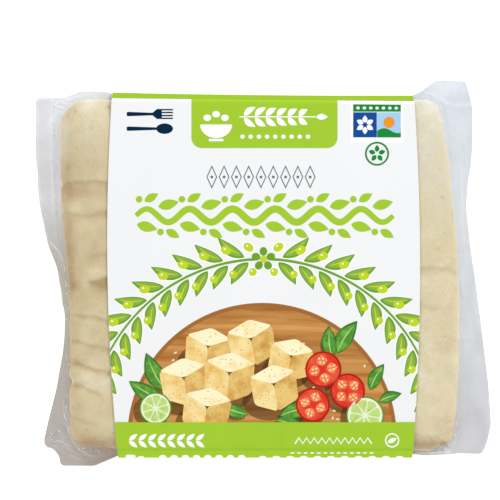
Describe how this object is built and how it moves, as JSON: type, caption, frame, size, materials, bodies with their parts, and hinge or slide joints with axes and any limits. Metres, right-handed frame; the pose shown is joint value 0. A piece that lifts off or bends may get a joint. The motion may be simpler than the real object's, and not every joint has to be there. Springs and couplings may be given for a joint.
{
  "type": "vacuum-packed tofu block",
  "caption": "Pressed tofu block sealed in a clear film pouch with flat end flanges, and a printed paper sleeve wrapped round its middle.",
  "frame": {"origin": "middle of the pack's footprint, on the surface that its back lies on", "axes": "+Z out of the printed front, +Y towards the top of the print, +X along the pack towards its right-hand flange"},
  "size_m": [0.1302, 0.1108, 0.0275],
  "materials": {
    "film_over_tofu": "cream pressed tofu seen through clear film",
    "clear_film": "clear glossy film, milky and embossed at the seals",
    "sleeve_paper": "smooth coated paper",
    "sleeve_print": "printed ink on coated paper"
  },
  "bodies": {
    "root": {"vacuum_pouch": "film_over_tofu", "paper_sleeve": "sleeve_paper"}
  },
  "joints": []
}
